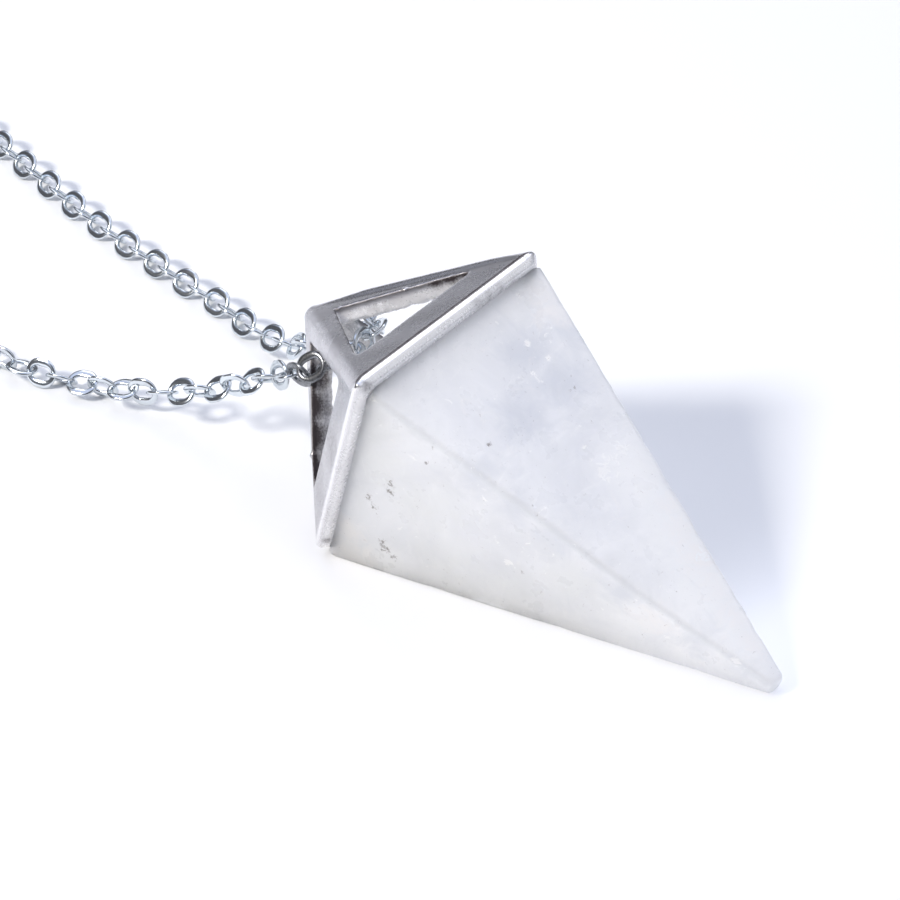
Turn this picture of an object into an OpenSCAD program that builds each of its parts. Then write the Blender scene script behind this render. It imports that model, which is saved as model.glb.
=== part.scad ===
// Crystal point pendant on a fine cable chain, lying on a flat surface.
// A four-sided stone point hangs, when worn, from an open pyramid cap that the chain runs through.
// Lengths are millimetres. The origin is on the surface, under the middle of the whole necklace;
// the stone points along -Y, the chain's loop runs toward +Y.

/* [Cap] */
// Width of the cap across its square rim
cap_w = 17.2; // [15:0.4:20]
// How far the rim sits to one side of the point and the stone, along both of its sides
cap_shift = 0.4; // [0:0.1:0.6]
// Height from the rim to the point where the sloping faces would meet
cap_h = 10.8; // [9.6:0.2:12]
// Thickness of the cap's metal
cap_wall = 1.2; // [0.9:0.05:1.4]
// Height of the skirt below the sloping faces
skirt_h = 0.65; // [0.5:0.05:1]
// How far the skirt draws in at its lower edge
skirt_in = 0.4; // [0:0.05:0.5]
// Radius of the two rim corners that point up when the piece lies down
top_corner_r = 1; // [0.8:0.1:2]
// Radius of the two rim corners next to the surface
low_corner_r = 1.8; // [0.8:0.1:2.5]
// Radius of the rounded edge where the skirt meets the faces
rim_r = 0.35; // [0.2:0.05:0.4]
// Radius of the blunt point at the top
point_r = 1; // [0.6:0.1:1.4]
// Band of metal below each window, measured up the face
window_sill = 3; // [2:0.1:4]
// Width of the bars beside each window, measured along its sill
bar_w = 1.17; // [0.9:0.01:1.6]
// Metal above each window, measured up the face to where the faces would meet
crown_h = 3.26; // [2.7:0.02:4.5]
// Radius of the windows' corners
window_r = 0.4; // [0.2:0.05:0.8]

/* [Stone] */
// How far the stone stands out past the cap's lower edge
stone_proud = 0.02; // [0:0.01:0.2]
// Length of the stone
stone_l = 28.6; // [24:0.2:36]
// Width of the flat that blunts the tip
tip_w = 1.18; // [0.9:0.02:3]
// Radius of the rounded edge round the wide end
shoulder_r = 0.3; // [0.1:0.05:1]
// Radius of the stone's corners at its wide end
stone_corner_r = 1; // [0.5:0.1:3]
// Length over which those corners sharpen to the ridges
corner_run = 2.4; // [1:0.2:8]
// Radius of the long ridges
ridge_r = 0.4; // [0.2:0.05:0.45]

/* [Chain] */
// Outer length of a link
link_l = 2.28; // [2.1:0.02:2.4]
// Outer width of a link
link_w = 2.02; // [1.8:0.02:2.1]
// Thickness of a link's wire
wire_d = 0.3; // [0.24:0.01:0.34]
// Play between neighbouring links drawn straight
link_play = 0.13; // [0.1:0.01:0.2]
// Length of chain made as single links before the cap
near_run = 41; // [30:1:60]
// Length of chain made as single links after the cap
far_run = 53; // [40:1:60]

/* [Clasp] */
// Length of the barrel
barrel_l = 7; // [5:0.5:10]
// Thickness of the barrel
barrel_d = 2.2; // [1.9:0.1:3]
// Radius of the eyes' bend, to the middle of their wire
eye_r = 0.85; // [0.75:0.05:1]
// Thickness of the eyes' wire
eye_wire = 0.45; // [0.35:0.05:0.5]

/* [Hidden] */
$fn = 32;

// Gap kept between the stone and the cap that it is glued under
stone_gap = 0.1;
// Gap kept between the plain runs of chain and what follows them
run_gap = 0.15;
// Distance between the rings of the plain runs
ring_step = 4.8;
// Sides of the plain runs
run_sides = 8;
// Turn of each link about the chain, one way and the other
link_turn = 45;
// Steps that the route is divided into between two of its points
route_steps = 8;
// Steps in each rounded corner of the stone, in its shoulder and along the sharpening corners
corner_steps = 5;
shoulder_steps = 4;
sharpen_steps = 4;
// Overlap that lets a cut run past a surface
cut = 1;
// Height of the hollow's own rim, where its upright foot turns into its slopes
hollow_rim = 0.01;

// Shape of the cap: two sides reach further from the point than the other two
near_reach = cap_w / 2 + cap_shift;
far_reach = cap_w / 2 - cap_shift;
face_l = norm([near_reach, cap_h]);
rim_z = -rim_r * (face_l - cap_h) / near_reach;
hollow_in = cap_wall * face_l / cap_h;
window_w = cap_w * (1 - window_sill / face_l) - 2 * bar_w;
window_h = face_l - window_sill - crown_h;
hollow_corner_r = 0.6;
hollow_point_r = 0.3;

// Shape of the stone, which hangs below the cap along -z
stone_half = cap_w / 2 - skirt_in + stone_proud;
stone_top = -skirt_h - stone_gap;
stone_slope = (stone_half - tip_w / 2) / stone_l;
tip_z = stone_top - stone_l;
stone_cuts = concat(
    [for (k = [0:shoulder_steps]) shoulder_r * (1 - cos(90 * k / shoulder_steps))],
    [for (k = [1:sharpen_steps]) shoulder_r + corner_run * k / sharpen_steps],
    [stone_l]
);

// Rest on one of the stone's faces
lie_tilt = atan(stone_slope);
lie_z = (stone_half - stone_slope * stone_top) * cos(lie_tilt);
tip_y = tip_z * cos(lie_tilt) - tip_w / 2 * sin(lie_tilt);
top_y = cap_h * cos(lie_tilt);
top_z = lie_z + cap_h * sin(lie_tilt);

// Route of the chain through the middle of its links, from the clasp round to the clasp,
// from a point on the surface under the middle of the cap's rim: x, y, z and twist
route_points = [
    [-2.6, 184, 1.1, 0], [-8, 183.8, 0.9, 0], [-20, 181.5, 0.8, 0], [-33, 174.5, 0.8, 0],
    [-43, 163, 0.8, 0], [-47, 149, 0.8, 0], [-45, 133, 0.8, 0], [-38, 116, 0.8, 0],
    [-29.5, 99, 0.8, 0], [-21.5, 82, 0.8, 0], [-15, 66, 0.8, 0], [-11, 52, 0.8, 0],
    [-9, 41, 0.8, 0], [-8.2, 32.3, 0.8, 0], [-7.5, 28.2, 0.8, 0], [-6.4, 24.8, 0.95, -10],
    [-5.4, 21.6, 1.4, 8], [-4.4, 18.2, 2.4, -8], [-3.7, 15.5, 3.6, 6], [-3, 12.8, 5.2, 0],
    [-2.8, 10.7, 6.6, 0], [-3, 9.4, 7.7, 0], [-3.4, 8.2, 8.5, 0], [-3.6, 7.1, 9.3, 0],
    [-3.4, 6.4, 10.2, 0], [-2.1, 5.8, 9.9, 0], [-0.4, 5.7, 10, 0], [1.1, 5.9, 9.7, 0],
    [2.3, 6.3, 9.7, 0], [3, 7.1, 9.2, 0], [3.8, 7.9, 8.7, 0], [4, 9.1, 7.3, 0],
    [3.5, 11.3, 5.7, 0], [3.7, 13.8, 3.5, 0], [4.5, 16.7, 1.7, 0], [4.9, 20, 1, 0],
    [5.6, 23.8, 0.8, 0], [5.8, 27.1, 0.8, 0], [6.1, 30.3, 0.8, 0], [6.8, 36.7, 0.8, 0],
    [7.9, 42.7, 0.8, 0], [9.9, 52, 0.8, 0], [14.5, 66, 0.8, 0], [22.5, 82, 0.8, 0],
    [32, 99, 0.8, 0], [42, 116, 0.8, 0], [49, 133, 0.8, 0], [51, 149, 0.8, 0],
    [47, 163, 0.8, 0], [37, 174.5, 0.8, 0], [24, 181.5, 0.8, 0], [12, 183.8, 0.9, 0],
    [6.6, 184, 1.1, 0]
];
// Number of the route's point at the cap, and the place of the cap's top that the route is drawn for
cap_point = 26;
route_top_y = 10.43;
route_top_z = 10.92;
// Each point of the route moves with the cap's top, by its share of the top's height
route = [
    for (p = route_points)
        let (share = p.z / route_top_z)
        [p.x, p.y + share * (top_y - route_top_y), share * top_z, p[3]]
];

// Route's slope at each point, from the chords before and after it, each weighted by the other
route_n = len(route);
chords = [for (i = [0:route_n - 2]) norm(place(route[i + 1]) - place(route[i]))];
slopes = [
    for (i = [0:route_n - 1])
        i == 0 ? (route[1] - route[0]) / chords[0]
        : i == route_n - 1 ? (route[i] - route[i - 1]) / chords[i - 1]
        : ((route[i + 1] - route[i]) / chords[i] * chords[i - 1]
            + (route[i] - route[i - 1]) / chords[i - 1] * chords[i]) / (chords[i - 1] + chords[i])
];

// Fine points along the route, the distance to each, and the total
fine = [
    for (i = [0:route_n - 2], k = [0:route_steps - 1]) blend(i, k / route_steps),
    route[route_n - 1]
];
fine_at = [
    for (i = 0, run = 0; i < len(fine); run = run + fine_gap(i), i = i + 1) run
];
route_l = fine_at[len(fine) - 1];
along_x = [for (i = [0:len(fine) - 1]) [fine_at[i], fine[i].x]];
along_y = [for (i = [0:len(fine) - 1]) [fine_at[i], fine[i].y]];
along_z = [for (i = [0:len(fine) - 1]) [fine_at[i], fine[i].z]];
along_turn = [for (i = [0:len(fine) - 1]) [fine_at[i], fine[i][3]]];

// Links: the end ones pass through the clasp's eyes, and the pitch divides the rest evenly
link_bend_r = (link_w - wire_d) / 2;
link_straight = link_l - link_w;
first_at = (link_l - wire_d) / 2 - (eye_wire + wire_d) / 2 - link_play;
full_pitch = link_l - 2 * wire_d - link_play;
link_n = ceil((route_l - 2 * first_at) / full_pitch) + 1;
link_pitch = (route_l - 2 * first_at) / (link_n - 1);
cap_at = fine_at[cap_point * route_steps];
near_link = round((cap_at - near_run - first_at) / link_pitch);
far_link = round((cap_at + far_run - first_at) / link_pitch);
run_r = link_bend_r * sin(link_turn) + wire_d / 2;

// Clasp, in the middle of the loop's far end
clasp_x = (route[0].x + route[route_n - 1].x) / 2;
clasp_y = route[0].y;
clasp_z = barrel_d / 2;
eye_at = (route[route_n - 1].x - route[0].x) / 2 - eye_r;

// Middle of the whole necklace
mid_x = (min([for (p = fine) p.x]) + max([for (p = fine) p.x])) / 2;
mid_y = (clasp_y + barrel_d / 2 + tip_y) / 2;

function place(p) = [p.x, p.y, p.z];

// Point between route points i and i + 1, at share t of the way
function blend(i, t) =
    let (u = 1 - t, d = chords[i])
    route[i] * u * u * (1 + 2 * t) + route[i + 1] * t * t * (3 - 2 * t)
    + slopes[i] * d * t * u * u - slopes[i + 1] * d * t * t * u;

function fine_gap(i) = i + 1 < len(fine) ? norm(place(fine[i + 1]) - place(fine[i])) : 0;

function at(s) = [lookup(s, along_x), lookup(s, along_y), lookup(s, along_z)];

// Direction of the route over half a link on each side
function heading(s) = at(s + link_pitch / 2) - at(s - link_pitch / 2);

// Turns that lay the x axis along a direction
function aim(v) = [0, -atan2(v.z, norm([v.x, v.y])), atan2(v.y, v.x)];

// One ring of a plain run, square to the route
function run_ring(s) =
    let (
        v = heading(s),
        yaw = atan2(v.y, v.x),
        rise = atan2(v.z, norm([v.x, v.y])),
        side = [-sin(yaw), cos(yaw), 0],
        top = [-sin(rise) * cos(yaw), -sin(rise) * sin(yaw), cos(rise)],
        r = run_r / cos(180 / run_sides)
    )
    [for (k = [0:run_sides - 1])
        let (a = (k + 0.5) * 360 / run_sides)
        at(s) - side * r * cos(a) + top * r * sin(a)];

// Triangles that close a skin of rings, each with n points
function skin(rings, n) = concat(
    [for (k = [1:n - 2]) [0, k + 1, k]],
    [for (k = [1:n - 2]) [0, k, k + 1] + (rings - 1) * n * [1, 1, 1]],
    [for (i = [0:rings - 2], k = [0:n - 1])
        [i * n + k, i * n + (k + 1) % n, (i + 1) * n + (k + 1) % n]],
    [for (i = [0:rings - 2], k = [0:n - 1])
        [i * n + k, (i + 1) * n + (k + 1) % n, (i + 1) * n + k]]
);

// Outline of the stone at a depth below its top: a square whose corners sharpen further down
function stone_ring(down) =
    let (
        lift = max(0, 1 - down / shoulder_r),
        inset = shoulder_r * (1 - sqrt(1 - lift * lift)),
        half = stone_half - stone_slope * down - inset,
        near = max(0, 1 - down / (shoulder_r + corner_run)),
        r = ridge_r + (stone_corner_r - ridge_r) * near * near
    )
    [for (q = [0:3], k = [0:corner_steps])
        let (a = q * 90 + k * 90 / corner_steps)
        [
            (half - r) * (q == 0 || q == 3 ? 1 : -1) + r * cos(a),
            (half - r) * (q < 2 ? 1 : -1) + r * sin(a),
            stone_top - down
        ]];

// Lays a piece that is modelled upright, point up, on its side
module lay() {
    translate([-mid_x, -mid_y, lie_z])
        rotate([lie_tilt - 90, 0, 0])
            children();
}

// Solid pyramid on an upright foot, with rounded corners, shoulder and point. Its sides reach
// near and far from the axis, and its foot draws in at the bottom.
module pyramid(near, far, foot_z, foot_in, shoulder_z, shoulder_r, top_r, low_r, tip_r, tip_z) {
    hull() {
        for (x = [-1, 1], y = [-1, 1]) {
            r = y < 0 ? top_r : low_r;
            at_x = x < 0 ? r - near : far - r;
            at_y = y < 0 ? r - near : far - r;
            translate([at_x, at_y, foot_z])
                cylinder(h = shoulder_z - foot_z, r1 = r - foot_in, r2 = r);
            translate([at_x, at_y, shoulder_z])
                rotate_extrude()
                    translate([r - shoulder_r, 0])
                        circle(shoulder_r);
        }
        translate([0, 0, tip_z])
            sphere(tip_r);
    }
}

// Triangle of a window, cut square to a face that reaches this far from the axis
module window(reach, shift) {
    translate([0, reach, 0])
        rotate([180 - atan2(cap_h, reach), 0, 0])
            translate([shift, 0, -cut])
                linear_extrude(2 * cap_wall + cut)
                    hull() {
                        for (x = [-1, 1])
                            translate([x * (window_w / 2 - window_r), window_sill + window_r])
                                circle(window_r);
                        translate([0, window_sill + window_h - window_r])
                            circle(window_r);
                    }
}

module crystal_point() {
    rings = [for (down = stone_cuts) stone_ring(down)];
    color("lightsteelblue")
        lay()
            polyhedron(
                [for (ring = rings, p = ring) p],
                skin(len(rings), 4 * (corner_steps + 1))
            );
}

module cap_frame() {
    color("silver")
        lay()
            difference() {
                pyramid(near_reach, far_reach, -skirt_h, skirt_in, rim_z, rim_r,
                    top_corner_r, low_corner_r, point_r, cap_h - point_r * face_l / near_reach);
                pyramid(near_reach - hollow_in, far_reach - hollow_in, -skirt_h - cut, 0, 0, hollow_rim,
                    hollow_corner_r, hollow_corner_r, hollow_point_r,
                    cap_h - (cap_wall + hollow_point_r) * face_l / near_reach);
                for (turn = [0:90:270])
                    rotate([0, 0, turn])
                        window(
                            turn == 90 || turn == 180 ? near_reach : far_reach,
                            (turn < 180 ? -1 : 1) * cap_shift / 2
                        );
            }
}

// One link, long way along x
module link() {
    for (side = [-1, 1]) {
        translate([side * link_straight / 2, 0, 0])
            rotate([0, 0, -side * 90])
                rotate_extrude(angle = 180)
                    translate([link_bend_r, 0])
                        circle(d = wire_d);
        translate([-link_straight / 2, side * link_bend_r, 0])
            rotate([0, 90, 0])
                cylinder(h = link_straight, d = wire_d);
    }
}

module chain_front() {
    color("gainsboro")
        translate([-mid_x, -mid_y, 0])
            for (i = [near_link:far_link]) {
                s = first_at + i * link_pitch;
                turn = link_turn * (i % 2 == 0 ? 1 : -1) + lookup(s, along_turn);
                translate(at(s))
                    rotate(aim(heading(s)) + [turn, 0, 0])
                        link();
            }
}

// Plain run of the chain's outer size between two distances along the route
module plain_run(from, to) {
    rings_n = ceil((to - from) / ring_step) + 1;
    rings = [for (i = [0:rings_n - 1]) run_ring(from + (to - from) * i / (rings_n - 1))];
    translate([-mid_x, -mid_y, 0])
        polyhedron([for (ring = rings, p = ring) p], skin(rings_n, run_sides));
}

module chain_back() {
    color("gainsboro") {
        plain_run(eye_wire / 2 + run_gap, first_at + near_link * link_pitch - link_l / 2 - run_gap);
        plain_run(first_at + far_link * link_pitch + link_l / 2 + run_gap,
            route_l - eye_wire / 2 - run_gap);
    }
}

module clasp() {
    color("silver")
        translate([clasp_x - mid_x, clasp_y - mid_y, clasp_z]) {
            rotate([0, 90, 0])
                cylinder(h = barrel_l, d = barrel_d, center = true);
            for (side = [-1, 1])
                translate([side * eye_at, 0, 0])
                    rotate([side * link_turn, 0, 0])
                        rotate_extrude()
                            translate([eye_r, 0])
                                circle(d = eye_wire);
        }
}

crystal_point();
cap_frame();
chain_front();
chain_back();
clasp();
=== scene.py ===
import bpy
import numpy as np
from mathutils import Matrix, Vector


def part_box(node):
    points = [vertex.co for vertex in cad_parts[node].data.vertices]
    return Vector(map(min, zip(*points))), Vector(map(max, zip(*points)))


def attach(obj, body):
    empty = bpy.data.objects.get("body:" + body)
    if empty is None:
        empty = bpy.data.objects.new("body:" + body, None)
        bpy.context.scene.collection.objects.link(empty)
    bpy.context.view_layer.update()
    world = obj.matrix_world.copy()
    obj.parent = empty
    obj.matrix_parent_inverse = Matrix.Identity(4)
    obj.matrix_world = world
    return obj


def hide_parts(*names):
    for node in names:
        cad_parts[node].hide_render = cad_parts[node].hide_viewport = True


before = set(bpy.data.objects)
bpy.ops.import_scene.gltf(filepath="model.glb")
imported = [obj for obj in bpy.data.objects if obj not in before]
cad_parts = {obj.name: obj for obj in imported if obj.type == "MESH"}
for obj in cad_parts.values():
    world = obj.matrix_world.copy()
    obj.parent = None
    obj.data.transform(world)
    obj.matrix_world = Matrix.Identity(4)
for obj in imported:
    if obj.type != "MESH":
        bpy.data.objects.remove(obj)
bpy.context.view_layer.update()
millimetre = 0.001


# Camera

cameraSet = {
    "aim": (-4.302, -82.3157, 8.0),  # where the middle of the view meets the stone
    "distance": 266.75,
    "azimuth": -138.069,
    "elevation": 40.6335,
    "roll": -1.835,
    "lens": 169.43,
    "sensor": 36,
    "clip": (10, 20000),    # nearest and farthest thing that it sees
}


def placeObject(data, right, up, back, place):
    # New camera or lamp object whose own axes point right, up and back, at a place in millimetres
    matrix = np.identity(4)
    matrix[:3, :3] = np.stack([right, up, back], 1)
    matrix[:3, 3] = np.array(place) * millimetre
    placed = bpy.data.objects.new(data.name, data)
    placed.matrix_world = Matrix(matrix.tolist())
    bpy.context.scene.collection.objects.link(placed)
    return placed


def placeCamera(settings):
    # The back axis points from the aim to the camera; right and up are turned about it by the roll
    azimuth, elevation, roll = np.radians([settings[key] for key in ("azimuth", "elevation", "roll")])
    back = np.array([np.cos(azimuth) * np.cos(elevation), np.sin(azimuth) * np.cos(elevation),
                     np.sin(elevation)])
    level = np.array([-np.sin(azimuth), np.cos(azimuth), 0])
    rise = np.cross(back, level)
    right = level * np.cos(roll) + rise * np.sin(roll)
    eye = settings["aim"] + back * settings["distance"]
    data = bpy.data.cameras.new("camera")
    data.lens = settings["lens"]
    data.sensor_width = settings["sensor"]
    data.clip_start, data.clip_end = np.array(settings["clip"]) * millimetre
    bpy.context.scene.camera = placeObject(data, right, np.cross(back, right), back, eye)


# Mesh helpers

def makePiece(name, points, faces, attributes=None, lids=()):
    # Smooth-shaded mesh object from points in millimetres, its quads and the triangles that close it,
    # with one value a point for each attribute
    mesh = bpy.data.meshes.new(name)
    mesh.from_pydata((points * millimetre).tolist(), [], faces.tolist() + np.array(lids).tolist())
    mesh.polygons.foreach_set("use_smooth", np.ones(len(mesh.polygons), bool))
    for key, values in (attributes or {}).items():
        layer = mesh.attributes.new(key, "FLOAT", "POINT")
        layer.data.foreach_set("value", np.ascontiguousarray(values, np.float32).ravel())
    mesh.update()
    piece = bpy.data.objects.new(name, mesh)
    bpy.context.scene.collection.objects.link(piece)
    return piece


def gridFaces(rows, columns, closedRows, closedColumns):
    # Quads between neighbouring points of a grid whose rows and columns may run round and close
    r = np.arange(rows if closedRows else rows - 1)[:, None]
    c = np.arange(columns if closedColumns else columns - 1)[None, :]
    rNext, cNext = (r + 1) % rows, (c + 1) % columns
    quads = np.stack(np.broadcast_arrays(r * columns + c, r * columns + cNext,
                                         rNext * columns + cNext, rNext * columns + c), -1)
    return quads.reshape(-1, 4)


def fanFaces(columns):
    # Triangles that close a small ring of points, from its first point
    k = np.arange(1, columns - 1)
    return np.stack([0 * k, k + 1, k], 1)


def repeatFaces(faces, count, stride):
    # The same faces for each of a number of equal copies
    return (faces[None] + (np.arange(count) * stride)[:, None, None]).reshape(-1, faces.shape[1])


def waves(points, size, seed, count=14, spread=(0.7, 1.6)):
    # Smooth noise between about -1 and 1: sum of sine waves in random directions, each as long as the
    # size times a random number within the spread
    rng = np.random.default_rng(seed)
    direction = rng.normal(size=(count, 3))
    direction /= np.linalg.norm(direction, axis=1)[:, None]
    step = direction * (2 * np.pi / (size * rng.uniform(*spread, count)))[:, None]
    phase = rng.uniform(0, 2 * np.pi, count)
    total = np.zeros(points.shape[:-1])
    for k in range(count):
        total += np.sin(points @ step[k] + phase[k])
    return total / np.sqrt(count * 1.2)  # the root keeps all but a few points within one


def smoothMax(a, b, blend):
    # Larger of two fields, with the edge between them rounded over the blend's width
    h = np.maximum(blend - np.abs(a - b), 0)
    return np.maximum(a, b) + h * h / (4 * blend)


def fade(value, start, run):
    # Zero up to the start, one from the end of the run, and a straight line between
    return np.clip((value - start) / run, 0, 1)


def bell(value, middle, width):
    # One at the middle, falling on both sides by the square of the distance over the width
    return np.exp(-((value - middle) / width) ** 2)


# Stone

stoneSet = {
    "half": 8.22,           # half the width at the wide end
    "top": -0.75,           # the wide end's place below the cap's rim plane
    "length": 28.6,
    "tipWidth": 1.18,
    "shoulder": 0.16,       # rounding round the wide end
    "tipRadius": 0.24,
    "ridgeRadius": 0.4,
    "cornerRadius": 0.5,    # the ridges' rounding at the wide end, and the length over which it fades
    "cornerRun": 2.4,
    "roundest": 0.95,       # the most of a ring's half width that its corners' rounding takes
    "gap": 0.42,            # filled where the stone meets the cap, as by its glue
    "gapRun": 3,            # the filling fades over this depth
    "gapCorner": (0.82, 0.16),  # and towards the corners: from this share of the way, over this
    "flatSteps": 44,        # grid points on each facet, from ridge to ridge, and round each ridge
    "ridgeSteps": 11,
    "topRings": 14,         # rings of the flat top, each rounding, the taper and the tip's end
    "roundRings": 7,
    "taperRings": 228,
    "tipRings": 4,
    "topSpan": (0.04, 0.97),  # first and last ring of the flat top, and of the tip's end, as shares
    "tipSpan": (0.8, 0.2),
    "facetDip": 0.03,       # how far the hand-ground facets dip, and their waves' size and seed
    "facetWaves": (9, 3),
    "plainEnds": (1.2, 0.4),  # dips and chips fade over these lengths, at the top and at the tip
    "bow": (0.35, 18.5, 5.5, 1.1),  # how far the near ridge sags, where, and over what length and width
    "ridgeShade": (0.25, 0.4),    # painted shade, a greyer line along that ridge: how far beside it, and its width
    "clearFrom": 8,         # from here down the stone lets light through, more and more over this run
    "clearRun": 13,
    # small chips: corner (0 and 3 on the right, seen from the cap's front), share of the length, reach, depth
    "chips": [
        (2, 0.13, 0.55, 0.05), (2, 0.31, 0.45, 0.06), (2, 0.47, 0.7, 0.05), (2, 0.78, 0.5, 0.06),
        (2, 0.9, 0.6, 0.08), (1, 0.24, 0.5, 0.06), (1, 0.52, 0.6, 0.06), (1, 0.83, 0.5, 0.08),
        (3, 0.09, 0.5, 0.06), (3, 0.27, 0.4, 0.04), (3, 0.44, 0.3, 0.06), (3, 0.535, 0.6, 0.12),
        (3, 0.575, 0.2, 0.10), (3, 0.655, 0.5, 0.12), (3, 0.69, 0.2, 0.12), (3, 0.73, 0.3, 0.08),
        (3, 0.81, 0.25, 0.10), (3, 0.89, 0.35, 0.10), (0, 0.42, 0.6, 0.08), (0, 0.86, 0.5, 0.1),
    ],
    "chipInset": 0.3,       # a ridge lies this share of its radius inside the facets' corner
    "chipSquash": 0.6,      # chips are longer along the ridge by one over this
    "chipWaves": (0.5, 5),  # size and seed of the waves that break them up
    "chipDepth": (0.8, 0.5),  # share of their depth, and how much the waves change it
    # marks in the stone, by facet: distance to the right of its middle and below the top, reach
    "marks": {
        "smoke": {
            "upper": [(3, 3.5, 2.2), (3.5, 6.5, 2.5), (-1, 6.5, 2.0), (6.5, 4.5, 1.5)],
            "lower": [(-5.5, 7.5, 1.5), (-4.5, 10.5, 1.5), (-3.5, 13, 1.5), (-2, 18, 1.2),
                      (-1, 23.5, 1.4), (-0.5, 26.5, 1.3)],
        },
        "cream": {
            "upper": [(3, 16.5, 1.0), (2.5, 18, 1.4), (2, 20, 1.5), (1.5, 22, 1.5), (1, 24, 1.4),
                      (0.5, 26, 1.2), (7, 1.5, 1.4), (6.5, 3, 1.3)],
            "lower": [(7, 1.5, 1.8), (5, 0.5, 1.4), (-1, 20.5, 1.5)],
        },
        "moss": {
            "lower": [(-5, 0.5, 2.5), (-2.5, 2, 2.5), (-1, 5, 3.0), (3, 7.5, 3.0), (2.5, 12, 2.2),
                      (-0.5, 15, 2.4)],
        },
        # painted light: lighter towards the thin end and along the lower facet's bottom edge, where light
        # comes through the crystal
        "paintedLight": {
            "upper": [(2.5, 14, 3.0), (1.5, 18, 3.0), (0.5, 22, 3.0), (0, 25, 2.5)],
            "lower": [(0, 19, 2.0), (0, 23, 2.0), (7.5, 4, 2.6), (6.8, 8, 2.6), (5.6, 12, 2.4),
                      (4.4, 16, 2.2), (3, 20, 1.8)],
        },
        "wisps": {
            "upper": [(1, 12.5, 0.6), (2, 12, 0.6), (3, 12, 0.6), (1, 10.5, 0.25), (3.5, 5, 0.35),
                      (2, 20, 0.5), (2.5, 20.5, 0.4), (5.3, 0.7, 0.3), (3.2, 3.5, 0.3), (4.2, 3.9, 0.25),
                      (2, 5, 0.2), (0.8, 12.3, 0.5), (1.9, 12.1, 0.35)],
            "lower": [(-7.8, 0.3, 0.3), (-4, 8.5, 0.25), (0, 21.5, 0.35), (-1, 26, 0.4), (-1, 10, 0.4),
                      (0.5, 11, 0.4), (-3.7, 8.6, 0.2)],
        },
        "specks": {
            "upper": [(-4.2, 6.8, 0.16), (3.8, 6.6, 0.12), (3.4, 7.3, 0.15)],
            "lower": [(-1.2, 2.6, 0.35), (-0.5, 2.8, 0.3), (1, 1.5, 0.35), (1.6, 2, 0.3), (4.4, 3, 0.3),
                      (4.8, 3.4, 0.4), (5.2, 4, 0.3), (-6.4, 4.6, 0.18), (-4.6, 4.5, 0.2),
                      (0.7, 12, 0.18)],
        },
    },
}

# how fast a facet nears the axis, and how the stone lies on one facet
stoneSlope = (stoneSet["half"] - stoneSet["tipWidth"] / 2) / stoneSet["length"]
lieTilt = np.arctan(stoneSlope)
lieHeight = (stoneSet["half"] - stoneSlope * stoneSet["top"]) * np.cos(lieTilt)
squareCorners = np.array([[1, 1], [-1, 1], [-1, -1], [1, -1]], float)


def stoneRings(settings):
    # Depth below the top, half width and corner radius of each ring, from the middle of the flat top
    # over the shoulder and down to the middle of the blunt tip. The half width is that of the facets'
    # planes at that depth, less what the rounding takes
    shoulder, tip, length = settings["shoulder"], settings["tipRadius"], settings["length"]
    topRings, tipRings = settings["topRings"], settings["tipRings"]
    quarter = np.linspace(0, np.pi / 2, settings["roundRings"])
    taper = np.linspace(shoulder, length - tip, settings["taperRings"] + 2)[1:-1]
    depth = np.concatenate([np.zeros(topRings), shoulder * (1 - np.cos(quarter)), taper,
                            length - tip + tip * np.sin(quarter), np.full(tipRings, length)])
    inset = np.concatenate([np.zeros(topRings), shoulder * (1 - np.sin(quarter)), 0 * taper,
                            tip * (1 - np.cos(quarter)), np.zeros(tipRings)])
    half = settings["half"] - stoneSlope * depth - inset
    half[:topRings] = (settings["half"] - shoulder) * np.linspace(*settings["topSpan"], topRings)
    half[-tipRings:] = (settings["tipWidth"] / 2 - tip) * np.linspace(*settings["tipSpan"], tipRings)
    near = 1 - fade(depth, 0, shoulder + settings["cornerRun"])
    radius = settings["ridgeRadius"] + (settings["cornerRadius"] - settings["ridgeRadius"]) * near ** 2
    return depth, half, np.minimum(radius, half * settings["roundest"])


def stoneOutline(flat, ridge):
    # Unit outline in two parts, to be added: points of a square, which stay in its corners round each
    # ridge, and the unit directions in which the rounding pushes them out
    square, outward = [], []
    for q in range(4):
        a = np.radians(90 * q + np.linspace(0, 90, ridge))
        square.append(np.repeat(squareCorners[q][None], ridge, 0))
        outward.append(np.stack([np.cos(a), np.sin(a)], 1))
        t = np.linspace(0, 1, flat + 2)[1:-1, None]
        square.append(squareCorners[q] * (1 - t) + squareCorners[(q + 1) % 4] * t)
        outward.append(np.repeat(outward[-1][-1:], flat, 0))
    return np.vstack(square), np.vstack(outward)


def stoneDip(points, settings):
    # How far each point lies inside its plane: shallow waves, and bell-shaped chips on the ridges
    dip = settings["facetDip"] * (0.5 + 0.5 * np.clip(waves(points, *settings["facetWaves"]), -1, 1))
    level, change = settings["chipDepth"]
    broken = level + change * waves(points, *settings["chipWaves"])
    for side, share, wide, deep in settings["chips"]:
        at = share * settings["length"]
        inset = settings["ridgeRadius"] * settings["chipInset"]
        edge = (settings["half"] - stoneSlope * at - inset) * squareCorners[side]
        beside = (points - [*edge, settings["top"] - at]) * [1, 1, settings["chipSquash"]]
        dip += deep * np.exp(-2 * (np.linalg.norm(beside, axis=-1) / wide) ** 2) * broken
    return dip


def markField(points, marks, settings):
    # One in the middle of each mark of one kind, falling to a third at its reach and to zero beyond
    field = np.zeros(points.shape[:-1])
    for facet, places in marks.items():
        for across, down, wide in places:
            out = -(settings["half"] - stoneSlope * down)
            place = (across, out) if facet == "upper" else (out, across)
            gap = np.linalg.norm(points - [*place, settings["top"] - down], axis=-1)
            field = np.maximum(field, bell(gap, 0, wide))
    return field


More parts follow.
